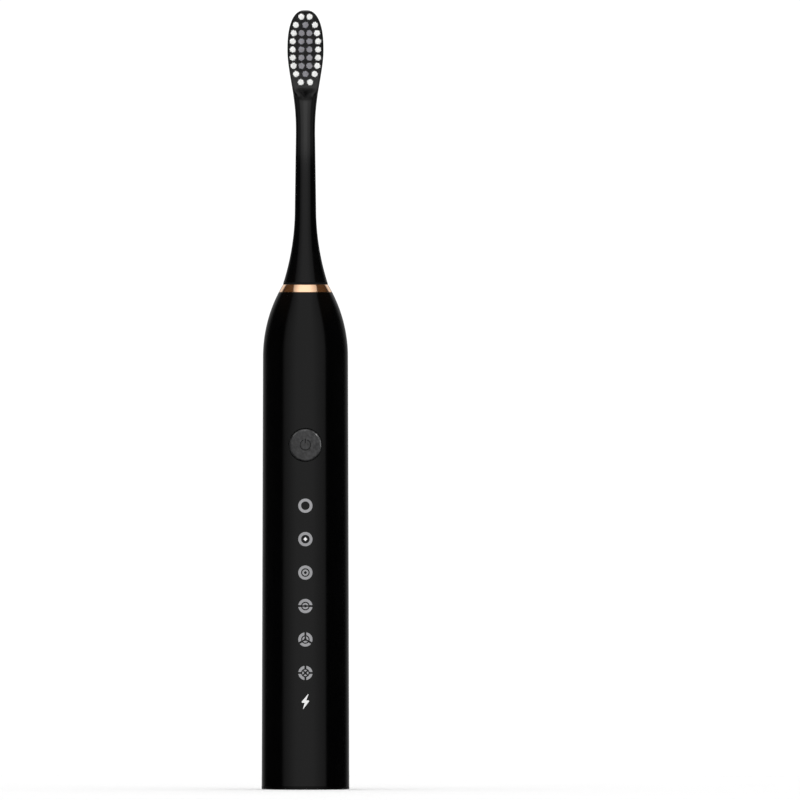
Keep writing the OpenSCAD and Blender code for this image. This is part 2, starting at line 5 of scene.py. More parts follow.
import bmesh
import bpy
import numpy as np
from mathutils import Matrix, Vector


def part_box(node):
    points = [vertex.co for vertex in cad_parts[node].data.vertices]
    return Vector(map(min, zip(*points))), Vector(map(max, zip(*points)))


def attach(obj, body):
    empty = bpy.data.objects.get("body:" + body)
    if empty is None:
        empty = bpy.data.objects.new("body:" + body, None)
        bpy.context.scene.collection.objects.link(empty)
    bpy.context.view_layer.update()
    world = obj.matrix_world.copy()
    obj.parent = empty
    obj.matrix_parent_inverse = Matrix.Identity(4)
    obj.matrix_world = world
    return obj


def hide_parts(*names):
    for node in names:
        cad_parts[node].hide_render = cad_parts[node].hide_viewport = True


# Looks of a sonic toothbrush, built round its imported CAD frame. Metres, +Z up, the front faces -Y.

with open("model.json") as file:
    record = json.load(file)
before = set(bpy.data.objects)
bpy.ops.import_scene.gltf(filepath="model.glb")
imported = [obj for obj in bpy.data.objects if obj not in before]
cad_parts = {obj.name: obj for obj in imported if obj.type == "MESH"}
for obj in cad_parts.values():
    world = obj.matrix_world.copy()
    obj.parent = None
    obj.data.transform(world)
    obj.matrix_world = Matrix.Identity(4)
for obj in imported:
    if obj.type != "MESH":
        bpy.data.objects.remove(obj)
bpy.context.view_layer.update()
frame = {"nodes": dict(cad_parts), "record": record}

MM = 0.001
SEED = 7
WELD = 0.00001 * MM  # points closer than this are one point

# ---------- driving sizes ----------

SHELL_LOW, SHELL_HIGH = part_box("handle_shell")
RING_LOW, RING_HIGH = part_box("trim_ring")
BUTTON_LOW, BUTTON_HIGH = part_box("power_button")
HEAD_LOW, HEAD_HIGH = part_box("brush_head_body")

# Seams that the photograph shows no light through: at the boot's rim, and at the shell's two ends
BOOT_SEAM = 0.005 * MM
SHELL_SEAM = 0.01 * MM

HANDLE_BASE_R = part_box("bottom_cap")[1].x
HANDLE_TOP_R = 13.2 * MM
SHOULDER_Z = 134 * MM
SHOULDER_ARC_R = 43.3 * MM
SHELL_WALL = 1.6 * MM
LIP_Z = 152 * MM
LIP_R = 6.2 * MM
RING_TOP_Z = RING_HIGH.z
RING_BASE_Z = SHELL_HIGH.z + SHELL_SEAM
RING_BORE_R = 5.4 * MM
RING_SEAT_R = 6.3 * MM
RING_SEAT_Z = RING_TOP_Z - 0.35 * MM

BUTTON_Z = (BUTTON_LOW.z + BUTTON_HIGH.z) / 2
BUTTON_R = 5.05 * MM
BUTTON_HOLE_R = 5.25 * MM
BUTTON_PROUD = 0.3 * MM

ICON_R = 2.2 * MM
ICON_BAND_IN = 0.605 * ICON_R
ICON_CORE_OUT = 0.44 * ICON_R
ICON_CORE_IN = 0.2 * ICON_R
ICON_SPLIT = 0.6 * MM
ICON_CORE_SPLIT = 0.45 * MM
ICON_DIAMOND_R = 0.62 * MM
ICON_GROW = 0.05 * MM
ICON_FLOOR_DEPTH = 0.68 * MM
# Corners in millimetres, and how much larger its pocket is
CHARGE_BOLT = [(1, 2.35), (0.85, 2.35), (-1.15, 0), (-1.1, -0.3), (-0.2, -0.35),
               (-0.75, -2.2), (-0.6, -2.2), (1.15, 0.1), (1.1, 0.4), (0.25, 0.4)]
BOLT_GROW = 1.05
ICON_NODES = [f"mode_icon_{n}" for n in range(1, 7)]

HEAD_BASE_Z = HEAD_LOW.z
HEAD_TIP_Z = HEAD_HIGH.z
HEAD_R = 5.6 * MM
HEAD_WIDEST_Z = 229 * MM
HEAD_FLARE_POWER = 1.3
HEAD_END_POWER = 2.4
NECK_LOW_Z = 180 * MM
NECK_LOW_R = 3.3 * MM
NECK_TOP_Z = 203 * MM
NECK_TOP_R = 2.97 * MM
SKIRT_ARC_R = 76.5 * MM
SKIRT_WALL = 0.9 * MM
SOCKET_R = 2.3 * MM
SOCKET_BASE_Z = 163.1 * MM
SOCKET_TOP_Z = 185.3 * MM
PLATE_HALF = 2.3 * MM
PLATE_EDGE_Z = 217.2 * MM
NECK_SLOPE_Z = 212.8 * MM

TUFT_PITCH = 2.53 * MM
TUFT_TOP_Z = 239.2 * MM
TUFT_HOLE_R = 0.86 * MM
TUFT_DEPTH = 2.6 * MM
BRISTLE_TIP_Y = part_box("outer_tufts")[0].y
# Half spacings in millimetres, from the tip's row down
OUTER_ROWS = [[1.27], [2.95], [3.6], [3.93], [3.93], [3.9], [3.67], [2.85], [1.42]]
INNER_ROWS = [[], [0], [1.2], [1.25], [1.25], [1.25], [1.22], [0], []]


# ---------- small tools ----------

def smooth_step(t):
    """Rises from 0 at t = 0 to 1 at t = 1, level at both ends."""
    t = min(max(t, 0.0), 1.0)
    return t * t * (3 - 2 * t)


def handle_r(z, inset=0.0):
    """Radius of the handle at a height, drawn in by inset."""
    if z <= SHOULDER_Z:
        return HANDLE_BASE_R + (HANDLE_TOP_R - HANDLE_BASE_R) * z / SHOULDER_Z - inset
    arc = SHOULDER_ARC_R - inset
    return HANDLE_TOP_R - SHOULDER_ARC_R + math.sqrt(arc ** 2 - (z - SHOULDER_Z) ** 2)


def handle_slope(z, inset):
    """How the handle's radius changes with height."""
    step = 0.01 * MM
    return (handle_r(z + step, inset) - handle_r(z - step, inset)) / (2 * step)


def heights(z0, z1, count):
    """Evenly spaced heights, both ends included."""
    return [z0 + (z1 - z0) * i / (count - 1) for i in range(count)]


def corner(r0, z0, r1, z1, r2, z2, size, steps):
    """A rounded corner at (r1, z1) between its two neighbours, size long on each side."""
    a = Vector((r0 - r1, z0 - z1)).normalized() * size
    b = Vector((r2 - r1, z2 - z1)).normalized() * size
    p = Vector((r1, z1))
    made = []
    for i in range(steps + 1):
        t = i / steps
        made.append(tuple((1 - t) ** 2 * (p + a) + 2 * t * (1 - t) * p + t ** 2 * (p + b)))
    return made


def rounded_outline(points, steps=4):
    """A closed outline of (r, z) from (r, z, rounding) points; a point with no rounding stays sharp."""
    made = []
    n = len(points)
    for i in range(n):
        before, here, after = points[i - 1], points[i], points[(i + 1) % n]
        if here[2] <= 0:
            made.append(here[:2])
        else:
            made += corner(*before[:2], *here[:2], *after[:2], here[2], steps)
    return made


def in_metres(points):
    """(r, z, rounding) points given in millimetres."""
    return [(r * MM, z * MM, own * MM) for r, z, own in points]


def circle(r, count, u=0.0, v=0.0):
    """Points of a circle of radius r about (u, v)."""
    turns = [2 * math.pi * k / count for k in range(count)]
    return [(u + r * math.cos(a), v + r * math.sin(a)) for a in turns]


def wall(a, b, n):
    """Faces between two rings of n vertices, whose first vertices are a and b."""
    return [[a + k, a + (k + 1) % n, b + (k + 1) % n, b + k] for k in range(n)]


def turned(faces):
    """The same faces, looking the other way."""
    return [face[:1] + face[:0:-1] for face in faces]


def new_object(name, verts, faces):
    mesh = bpy.data.meshes.new(name)
    mesh.from_pydata([tuple(v) for v in verts], [], faces)
    mesh.validate()
    obj = bpy.data.objects.new(name, mesh)
    bpy.context.scene.collection.objects.link(obj)
    return obj


def revolve(name, outline, segments):
    """Turns a closed outline of (r, z) points about the Z axis. Points at r = 0 become one vertex."""
    verts, rings = [], []
    for r, z in outline:
        if r < WELD:
            rings.append([len(verts)] * segments)
            verts.append((0, 0, z))
            continue
        rings.append(list(range(len(verts), len(verts) + segments)))
        verts += [(x, y, z) for x, y in circle(r, segments)]
    faces = []
    for i in range(len(rings)):
        a, b = rings[i], rings[(i + 1) % len(rings)]
        if a[0] == a[1] and b[0] == b[1]:
            continue
        for k in range(segments):
            m = (k + 1) % segments
            face = [a[k], a[m], b[m], b[k]]
            face = [v for j, v in enumerate(face) if v != face[j - 1]]
            faces.append(face)
    obj = new_object(name, verts, faces)
    point_outwards(obj)
    return obj


def point_outwards(obj):
    """Joins doubled points and turns every face outwards."""
    bm = bmesh.new()
    bm.from_mesh(obj.data)
    bmesh.ops.remove_doubles(bm, verts=bm.verts, dist=WELD)
    bmesh.ops.recalc_face_normals(bm, faces=bm.faces)
    bm.to_mesh(obj.data)
    bm.free()


def shade(obj, sharp_degrees):
    """Smooth shading, with edges sharper than the angle kept sharp."""
    bm = bmesh.new()
    bm.from_mesh(obj.data)
    limit = math.radians(sharp_degrees)
    for f in bm.faces:
        f.smooth = True
    for e in bm.edges:
        e.smooth = len(e.link_faces) == 2 and e.calc_face_angle(0.0) < limit
    bm.to_mesh(obj.data)
    bm.free()


def apply_modifiers(obj):
    """Puts the shape that the modifiers make into the mesh, and drops them."""
    graph = bpy.context.evaluated_depsgraph_get()
    made = bpy.data.meshes.new_from_object(obj.evaluated_get(graph))
    obj.modifiers.clear()
    obj.data = made


def cut(obj, cutters):
    """Takes the cutters' shapes out of obj and removes them."""
    for c in cutters:
        m = obj.modifiers.new("cut", "BOOLEAN")
        m.operation = "DIFFERENCE"
        m.solver = "EXACT"
        m.object = c
    bpy.context.view_layer.update()
    apply_modifiers(obj)
    for c in cutters:
        bpy.data.objects.remove(c)
    drop_slivers(obj)


def drop_slivers(obj):
    """Closes up the edges and faces too small to see that a cut leaves behind."""
    too_small = 0.0005 * MM
    bm = bmesh.new()
    bm.from_mesh(obj.data)
    bmesh.ops.remove_doubles(bm, verts=bm.verts, dist=too_small)
    bmesh.ops.dissolve_degenerate(bm, edges=bm.edges, dist=too_small)
    bm.to_mesh(obj.data)
    bm.free()


def joined(name, parts):
    """One object made of several (verts, faces) pairs."""
    verts, faces = [], []
    for v, f in parts:
        start = len(verts)
        verts += v
        faces += [[start + i for i in face] for face in f]
    return new_object(name, verts, faces)


def prism(outline, y0, y1, end=None):
    """A flat outline of (x, z) points, pushed along Y from y0 to y1, where it may have another form."""
    n = len(outline)
    verts = [(x, y0, z) for x, z in outline] + [(x, y1, z) for x, z in end or outline]
    sides = [[i, (i + 1) % n, n + (i + 1) % n, n + i] for i in range(n)]
    return verts, [list(range(n))[::-1], list(range(n, 2 * n))] + sides


def ring_prism(r_out, r_in, z, y0, y1, segments=64):
    """A full flat ring about (0, z), pushed along Y."""
    verts, faces = [], []
    for y in (y0, y1):
        for r in (r_out, r_in):
            verts += [(u, y, v) for u, v in circle(r, segments, 0.0, z)]
    outer0, inner0, outer1, inner1 = (i * segments for i in range(4))
    for a, b in ((outer0, inner0), (inner0, inner1), (inner1, outer1), (outer1, outer0)):
        faces += wall(a, b, segments)
    return verts, faces


def arc_outline(r_out, r_in, z, start, end, gap, steps=20):
    """Part of a flat ring between two angles, with straight ends half a gap away from each."""
    made = []
    for r, way in ((r_out, 1), (r_in, -1)):
        lean = math.degrees(math.asin(gap / 2 / r))
        angles = [start + lean + (end - start - 2 * lean) * i / steps for i in range(steps + 1)]
        made += [(r * math.cos(math.radians(a)), z + r * math.sin(math.radians(a))) for a in angles[::way]]
    return made


# ---------- mode symbols ----------

def ring_parts(r_out, r_in, z, gap, angles, y0, y1):
    """A flat ring about (0, z), cut by a gap at each angle, as prisms."""
    if not angles:
        return [ring_prism(r_out, r_in, z, y0, y1)]
    ends = angles[1:] + [angles[0] + 360]
    return [prism(arc_outline(r_out, r_in, z, a, b, gap), y0, y1) for a, b in zip(angles, ends)]


def symbol_parts(n, z, y0, y1):
    """The flat shape of mode symbol n, a little larger than its inlay, as prisms."""
    def band(angles):
        return ring_parts(ICON_R + ICON_GROW, ICON_BAND_IN - ICON_GROW, z,
                          ICON_SPLIT - 2 * ICON_GROW, angles, y0, y1)

    def core(angles):
        return ring_parts(ICON_CORE_OUT + ICON_GROW, ICON_CORE_IN - ICON_GROW, z,
                          ICON_CORE_SPLIT - 2 * ICON_GROW, angles, y0, y1)

    if n == 1:
        return band([])
    if n == 2:
        d = ICON_DIAMOND_R + 1.4 * ICON_GROW  # a corner moves further than its sides
        return band([]) + [prism([(d, z), (0, z + d), (-d, z), (0, z - d)], y0, y1)]
    if n == 3:
        return band([]) + core([])
    if n == 4:
        return band([0, 180]) + core([0, 180])
    if n == 5:
        return band([90, 210, 330]) + core([90, 210, 330])
    return band([0, 90, 180, 270]) + core([45, 135, 225, 315])


# ---------- handle ----------

def surface_normals(obj, skins):
    """Gives the turned surfaces of obj their true normals, and everything else flat ones.
    Each skin is the handle's form, as its inset and the sign of its outward side."""
    mesh = obj.data
    tolerance = 0.03 * MM

    def off(point, inset):
        return abs(math.hypot(point.x, point.y) - handle_r(min(point.z, SHELL_HIGH.z), inset))

    made = [Vector((0, 0, 0))] * len(mesh.loops)
    for face in mesh.polygons:
        face.use_smooth = True
        for i in face.loop_indices:
            made[i] = face.normal.copy()
        for inset, sign in skins:
            if all(off(mesh.vertices[v].co, inset) < tolerance for v in face.vertices):
                for i in face.loop_indices:
                    p = mesh.vertices[mesh.loops[i].vertex_index].co
                    r = math.hypot(p.x, p.y)
                    n = Vector((p.x / r, p.y / r, -handle_slope(min(p.z, SHELL_HIGH.z), inset))) * sign
                    made[i] = n.normalized()
    mesh.normals_split_custom_set(made)


def make_shell():
    """The turned shell, with pockets for the symbols and a hole for the button."""
    edge = 0.05 * MM
    in_front = -HANDLE_BASE_R - MM
    hole_back = -6 * MM
    z0, z1 = SHELL_LOW.z, SHELL_HIGH.z
    straight = heights(z0 + edge, SHOULDER_Z, 60)
    shoulder = heights(SHOULDER_Z, z1 - edge, 26)[1:]
    outer = [(handle_r(z), z) for z in straight + shoulder]
    inner_z = heights(z0, SHOULDER_Z, 12) + heights(SHOULDER_Z, LIP_Z, 14)[1:]
    inner = [(handle_r(z, SHELL_WALL), z) for z in inner_z]
    top = [(handle_r(z1) - edge, z1), (LIP_R, z1), (LIP_R, LIP_Z)]
    shell = revolve("shell_skin", [(handle_r(z0) - edge, z0)] + outer + top + inner[::-1], 240)

    parts = []
    for n, node in enumerate(ICON_NODES, start=1):
        low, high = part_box(node)
        z = (low.z + high.z) / 2
        parts += symbol_parts(n, z, in_front, -handle_r(z) + ICON_FLOOR_DEPTH)
    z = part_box("charge_icon")[0].z - min(h for _, h in CHARGE_BOLT) * MM
    bolt = [(BOLT_GROW * x * MM, z + BOLT_GROW * h * MM) for x, h in CHARGE_BOLT]
    parts.append(prism(bolt, in_front, -handle_r(z) + ICON_FLOOR_DEPTH))
    pockets = joined("pockets", parts)
    point_outwards(pockets)
    hole_outline = circle(BUTTON_HOLE_R, 128, 0.0, BUTTON_Z)
    hole = joined("hole", [prism(hole_outline, in_front, hole_back)])
    point_outwards(hole)
    cut(shell, [pockets, hole])
    surface_normals(shell, [(0.0, 1), (SHELL_WALL, -1)])
    return shell


def make_ring():
    """The polished ring, which goes on with the shoulder's curve, and its spigot in the shell's neck."""
    low_edge, top_edge = 0.05 * MM, 0.1 * MM
    spigot_r = LIP_R - 0.05 * MM
    levels = heights(RING_BASE_Z, RING_TOP_Z, 10)
    edges = [low_edge] + [0] * (len(levels) - 2) + [top_edge]
    outer = [(handle_r(z), z, own) for z, own in zip(levels, edges)]
    rest = [(RING_SEAT_R, RING_TOP_Z, 0.08 * MM), (RING_SEAT_R, RING_SEAT_Z, 0),
            (RING_BORE_R, RING_SEAT_Z, 0), (RING_BORE_R, RING_LOW.z, 0),
            (spigot_r, RING_LOW.z, 0.1 * MM), (spigot_r, RING_BASE_Z, 0)]
    ring = revolve("trim_ring_polished", rounded_outline(outer + rest), 192)
    shade(ring, 50)
    return ring


def make_seal():
    """The silicone boot: a rim that laps over the ring, and a ribbed dome down to a lip round the shaft. The
    lap fills the seam under the brush head, and its near-black colour is partly the silicone's own and partly
    painted shade of that seam.
    """
    low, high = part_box("shaft_seal")
    rim_z = RING_SEAT_Z / MM + 0.05
    lap_z = (RING_TOP_Z + BOOT_SEAM) / MM
    lap_top = (HEAD_BASE_Z - BOOT_SEAM) / MM
    # Radius, height and rounding, in millimetres
    points = [(3.1, low.z / MM, 0), (3.95, low.z / MM, 0), (3.95, 157.25, 0), (5.05, 157.25, 0),
              (5.05, rim_z, 0), (6.25, rim_z, 0), (6.25, lap_z, 0), (6.92, lap_z, 0.03),
              (6.87, lap_top, 0.04), (5.55, lap_top, 0.12), (5.55, 157.35, 0.15), (5.2, 157.65, 0.15),
              (4.5, 157.95, 0.13), (4.5, 158.35, 0.16), (3.9, 158.75, 0.16), (3.9, 159.15, 0.16),
              (3.2, 159.6, 0.16), (3.2, 160.1, 0.18), (2.3, high.z / MM, 0.3), (1.55, high.z / MM, 0.1),
              (1.55, 160.2, 0), (2.4, 159.4, 0.2), (3.1, 157.6, 0.2)]
    seal = revolve("shaft_boot", rounded_outline(in_metres(points), 3), 96)
    shade(seal, 50)
    return seal


def make_base_cap():
    """The bottom cap: a rounded rim under the shell, a plug with its groove, and the charging well."""
    rim_r, rim_top = HANDLE_BASE_R / MM, (SHELL_LOW.z - SHELL_SEAM) / MM
    well_r, well_top, well_outer_r, well_roof = 4.5, 10, 5.5, 11
    floor_top, mark_height = 1.6, 0.18
    plug_r, plug_bore_r, plug_top = 11.85, 9.6, 8.5
    groove_r, groove_low, groove_top = 10.65, 4.5, 5.9
    # Radius, height and rounding, in millimetres
    points = [(well_r, 0, 0.5), (9.2, 0, 0), (9.4, mark_height, 0), (10.0, mark_height, 0), (10.2, 0, 0),
              (rim_r, 0, 0.35), (rim_r, rim_top, 0.06), (plug_r, rim_top, 0), (plug_r, groove_low, 0),
              (groove_r, groove_low, 0), (groove_r, groove_top, 0), (plug_r, groove_top, 0),
              (plug_r, plug_top, 0.2), (plug_bore_r, plug_top, 0), (plug_bore_r, floor_top, 0.4),
              (well_outer_r, floor_top, 0.4), (well_outer_r, well_roof, 0.3), (0, well_roof, 0),
              (0, well_top, 0), (well_r, well_top, 0.4)]
    cap = revolve("base_cap", rounded_outline(in_metres(points)), 160)
    shade(cap, 35)
    return cap


# ---------- power button ----------

def make_button():
    """A domed rubber cap that follows the handle's curve, with a rounded edge and an engraved on/off sign."""
    edge, dome, dome_steps, segments = 0.75 * MM, 0.14 * MM, 26, 144
    wall_y, flange_front, flange_back = -11.4 * MM, -9.75 * MM, -9.0 * MM
    flange_r, stem_r = 6.1 * MM, 1.4 * MM
    face_r = handle_r(BUTTON_Z) + BUTTON_PROUD
    flat_r = BUTTON_R - edge
    profile = [(flat_r * i / dome_steps, dome * (i / dome_steps) ** 2) for i in range(1, dome_steps + 1)]
    for degrees in range(8, 89, 8):
        a = math.radians(degrees)
        profile.append((flat_r + edge * math.sin(a), dome + edge * (1 - math.cos(a))))
    back = [(BUTTON_R, wall_y), (BUTTON_R, flange_front), (flange_r, flange_front), (flange_r, flange_back),
            (stem_r, flange_back), (stem_r, BUTTON_HIGH.y)]
    verts = [(0, -face_r, BUTTON_Z)]
    starts = []

    def add_ring(r, place):
        starts.append(len(verts))
        verts.extend((x, place(x), BUTTON_Z + z) for x, z in circle(r, segments))

    for r, h in profile:
        add_ring(r, lambda x, h=h: -math.sqrt(face_r ** 2 - x ** 2) + h)
    for r, y in back:
        add_ring(r, lambda x, y=y: y)
    first, last = starts[0], starts[-1]
    faces = [[0, first + k, first + (k + 1) % segments] for k in range(segments)]
    for a, b in zip(starts, starts[1:]):
        faces += turned(wall(a, b, segments))
    faces.append([last + k for k in range(segments)][::-1])
    button = new_object("button_cap", verts, faces)
    point_outwards(button)

    # The sign: a groove that narrows from its mouth to its root
    sign_r, sign_gap, bar_low, bar_top = 1.6 * MM, 1.6 * MM, 0.7 * MM, 1.8 * MM
    mouth_half, root_half, depth = 0.19 * MM, 0.03 * MM, 0.32 * MM

    def arc(half):
        return arc_outline(sign_r + half, sign_r - half, BUTTON_Z, 90, 450, sign_gap - 2 * half, 48)

    def bar(half):
        z0, z1 = BUTTON_Z + bar_low - half, BUTTON_Z + bar_top + half
        return [(-half, z0), (half, z0), (half, z1), (-half, z1)]

    cutter = joined("sign", [prism(form(mouth_half), -face_r, -face_r + depth, form(root_half))
                             for form in (arc, bar)])
    point_outwards(cutter)
    cut(button, [cutter])
    shade(button, 35)
    return button


# ---------- brush head ----------

def neck_r(z):
    """Half width of the brush head at a height."""
    if z < NECK_LOW_Z:
        return NECK_LOW_R + SKIRT_ARC_R - math.sqrt(SKIRT_ARC_R ** 2 - (NECK_LOW_Z - z) ** 2)
    if z < NECK_TOP_Z:
        return NECK_LOW_R + (NECK_TOP_R - NECK_LOW_R) * (z - NECK_LOW_Z) / (NECK_TOP_Z - NECK_LOW_Z)
    if z < HEAD_WIDEST_Z:
        t = (z - NECK_TOP_Z) / (HEAD_WIDEST_Z - NECK_TOP_Z)
        return NECK_TOP_R + (HEAD_R - NECK_TOP_R) * smooth_step(t ** HEAD_FLARE_POWER)
    t = min((z - HEAD_WIDEST_Z) / (HEAD_TIP_Z - HEAD_WIDEST_Z), 1)
    return HEAD_R * (1 - t ** HEAD_END_POWER) ** (1 / HEAD_END_POWER)


def tip_fall(z, length, power):
    """1 below the tip's rounding, falling to 0 at the tip."""
    t = max(0.0, (z - (HEAD_TIP_Z - length)) / length)
    return max(0.0, 1 - min(t, 1) ** power) ** (1 / power)


def head_section(z):
    """Half width, front depth, back depth, and how square the front and back are, at a height."""
    neck_depth = 3.0 * MM
    thin_from, thin_over = 206 * MM, 12 * MM
    square_from, square_over = 214.5 * MM, 4 * MM
    front_tip, back_tip = (2.6 * MM, 2.2), (4.6 * MM, 2.0)
    w = neck_r(z)
    neck_front = neck_back = w
    if z > NECK_TOP_Z:
        neck_front = min(w, neck_depth + 0.55 * (w - neck_depth))
        neck_back = min(w, neck_depth)
    flat_front = smooth_step((z - NECK_SLOPE_Z) / (PLATE_EDGE_Z - NECK_SLOPE_Z))
    flat_back = smooth_step((z - thin_from) / thin_over)
    front = neck_front + (PLATE_HALF - neck_front) * flat_front
    back = neck_back + (PLATE_HALF - neck_back) * flat_back
    square = 2 + 7 * smooth_step((z - square_from) / square_over)
    back_square = 2 + 0.7 * flat_back
    return w, front * tip_fall(z, *front_tip), back * tip_fall(z, *back_tip), square, back_square


def head_ring(z, segments):
    """The brush head's outline at a height, as points."""
    w, front, back, square, back_square = head_section(z)
    ring = []
    for k in range(segments):
        a = 2 * math.pi * k / segments
        c, s = math.cos(a), math.sin(a)
        power = back_square if s > 0 else square
        depth = back if s > 0 else front
        x = w * math.copysign(abs(c) ** (2 / power), c)
        y = depth * math.copysign(abs(s) ** (2 / power), s)
        ring.append((x, y, z))
    return ring


def make_brush_body():
    """The moulded brush head: hollow skirt, round neck, and a flat egg-shaped head with drilled holes."""
    segments = 144
    edge = 0.04 * MM
    z_skirt = heights(HEAD_BASE_Z + edge, NECK_LOW_Z, 26)
    z_neck = heights(NECK_LOW_Z, NECK_TOP_Z, 12)[1:]
    z_flare = heights(NECK_TOP_Z, HEAD_WIDEST_Z, 56)[1:]
    dome_h = HEAD_TIP_Z - HEAD_WIDEST_Z
    dome = [HEAD_WIDEST_Z + dome_h * math.sin(math.radians(a)) for a in np.linspace(0, 89, 40)[1:]]
    drawn_in = 1 - edge / neck_r(HEAD_BASE_Z)
    rings = [[(x * drawn_in, y * drawn_in, z) for x, y, z in head_ring(HEAD_BASE_Z, segments)]]
    rings += [head_ring(z, segments) for z in z_skirt + z_neck + z_flare + dome]

    def inside_r(z):
        arc = SKIRT_ARC_R + SKIRT_WALL
        return NECK_LOW_R + SKIRT_ARC_R - math.sqrt(arc ** 2 - (NECK_LOW_Z - z) ** 2)

    cavity = [(inside_r(z), z) for z in heights(HEAD_BASE_Z, SOCKET_BASE_Z, 10)]
    cavity += [(SOCKET_R, SOCKET_BASE_Z), (SOCKET_R, SOCKET_TOP_Z)]
    verts = [v for ring in rings for v in ring]
    faces = []
    for i in range(len(rings) - 1):
        faces += wall(i * segments, (i + 1) * segments, segments)
    top, tip = (len(rings) - 1) * segments, len(verts)
    verts.append((0, sum(p[1] for p in rings[-1]) / segments, HEAD_TIP_Z))
    faces += [[top + k, top + (k + 1) % segments, tip] for k in range(segments)]
    starts = []
    for r, z in cavity:
        starts.append(len(verts))
        verts += [(x, y, z) for x, y in circle(r, segments)]
    for a, b in zip(starts, starts[1:]):
        faces += turned(wall(a, b, segments))
    faces.append([starts[-1] + k for k in range(segments)])
    faces += turned(wall(0, starts[0], segments))
    body = new_object("brush_body", verts, faces)
    point_outwards(body)

    in_front = -4 * MM
    drills = [prism(circle(TUFT_HOLE_R, 24, x, z), in_front, -PLATE_HALF + TUFT_DEPTH)
              for x, z in tuft_places(OUTER_ROWS) + tuft_places(INNER_ROWS)]
    cutter = joined("drills", drills)
    point_outwards(cutter)
    cut(body, [cutter])
    shade(body, 38)
    return body


def tuft_places(rows):
    """(x, z) of every tuft, from half spacings row by row."""
    made = []
    for i, row in enumerate(rows):
        z = TUFT_TOP_Z - i * TUFT_PITCH
        for half in row:
            made += [(half * MM, z)] if half == 0 else [(-half * MM, z), (half * MM, z)]
    return made


def filament(x, z, dx, dz, y_root, y_tip, r, bend, sides=7):
    """One round filament that leans by (dx, dz) towards its tip, bows by bend, and ends in a dome."""
    length = y_root - y_tip
    # How far along, and how thick there
    stations = [(0.0, 1.0), (0.35, 1.0), (0.7, 1.0), (1 - 0.9 * r / length, 1.0),
                (1 - 0.3 * r / length, 0.78)]
    verts, faces = [], []
    turn = random.random() * math.pi
    for t, size in stations:
        bow = 4 * t * (1 - t)
        cx = x + dx * t + bend[0] * bow
        cz = z + dz * t + bend[1] * bow
        for k in range(sides):
            a = turn + 2 * math.pi * k / sides
            verts.append((cx + r * size * math.cos(a), y_root - length * t, cz + r * size * math.sin(a)))
    verts.append((x + dx, y_tip, z + dz))
    for i in range(len(stations) - 1):
        faces += wall(i * sides, (i + 1) * sides, sides)
    top = (len(stations) - 1) * sides
    faces += [[top + k, top + (k + 1) % sides, len(verts) - 1] for k in range(sides)]
    faces.append([sides - 1 - k for k in range(sides)])
    return verts, faces


def make_bristles(name, rows, r, trim, tip_r):
    """Tufts of single filaments of radius r, packed like seeds in a sunflower, that spread to radius tip_r at
    their tips. trim is how far the shortest filaments end below the longest."""
    count = 74
    golden = math.radians(137.508)
    crowding = 0.57
    stray, bow = 0.035 * MM, 0.012 * MM
    rim_fall, root_depth, clearance = 0.12 * MM, 0.8 * MM, 0.02 * MM
    y_root = -PLATE_HALF + root_depth
    parts = []
    for x, z in tuft_places(rows):
        turn = random.random() * 2 * math.pi
        for i in range(count):
            share = ((i + 0.5) / count) ** crowding
            a = turn + i * golden
            root = share * (TUFT_HOLE_R - r - clearance)
            spread = share * (tip_r - r) - root
            jitter = [random.gauss(0, stray) for _ in range(2)]
            bend = [random.gauss(0, bow) for _ in range(2)]
            end = BRISTLE_TIP_Y + trim * random.random() ** 1.5 + rim_fall * share ** 4
            parts.append(filament(x + root * math.cos(a), z + root * math.sin(a),
                                  spread * math.cos(a) + jitter[0], spread * math.sin(a) + jitter[1],
                                  y_root, end, r, bend))
    obj = joined(name, parts)
    point_outwards(obj)
    shade(obj, 60)
    return obj


# ---------- materials ----------

class Nodes:
    """A material's node tree, with short calls for the nodes that every material here uses."""

    def __init__(self, name):
        self.material = bpy.data.materials.new(name)
        self.material.use_nodes = True
        self.tree = self.material.node_tree
        self.shader = next(n for n in self.tree.nodes if n.type == "BSDF_PRINCIPLED")
        self.place = self.add("ShaderNodeTexCoord").outputs["Object"]

    def add(self, kind, **settings):
        node = self.tree.nodes.new(kind)
        for key, value in settings.items():
            setattr(node, key, value)
        return node

    def link(self, a, b):
        self.tree.links.new(a, b)

    def noise(self, scale, detail=3.0, stretch=(1, 1, 1), roughness=0.5):
        mapping = self.add("ShaderNodeMapping")
        mapping.inputs["Scale"].default_value = stretch
        self.link(self.place, mapping.inputs["Vector"])
        node = self.add("ShaderNodeTexNoise")
        node.inputs["Scale"].default_value = scale
        node.inputs["Detail"].default_value = detail
        node.inputs["Roughness"].default_value = roughness
        self.link(mapping.outputs["Vector"], node.inputs["Vector"])
        return node.outputs["Fac"]

    def remap(self, value, low, high, start=0.3, end=0.7):
        node = self.add("ShaderNodeMapRange")
        node.inputs["From Min"].default_value = start
        node.inputs["From Max"].default_value = end
        node.inputs["To Min"].default_value = low
        node.inputs["To Max"].default_value = high
        self.link(value, node.inputs["Value"])
        return node.outputs["Result"]

    def mix(self, factor, a, b):
        node = self.add("ShaderNodeMix", data_type="RGBA")
        node.inputs["A"].default_value = (*a, 1)
        node.inputs["B"].default_value = (*b, 1)
        self.link(factor, node.inputs["Factor"])
        return node.outputs["Result"]

    def bump(self, value, distance):
        node = self.add("ShaderNodeBump")
        node.inputs["Distance"].default_value = distance
        node.inputs["Strength"].default_value = 1.0
        self.link(value, node.inputs["Height"])
        return node.outputs["Normal"]

    def set(self, **values):
        names = {"metallic": "Metallic", "specular": "Specular IOR Level", "subsurface": "Subsurface Weight"}
        for key, value in values.items():
            self.shader.inputs[names[key]].default_value = value


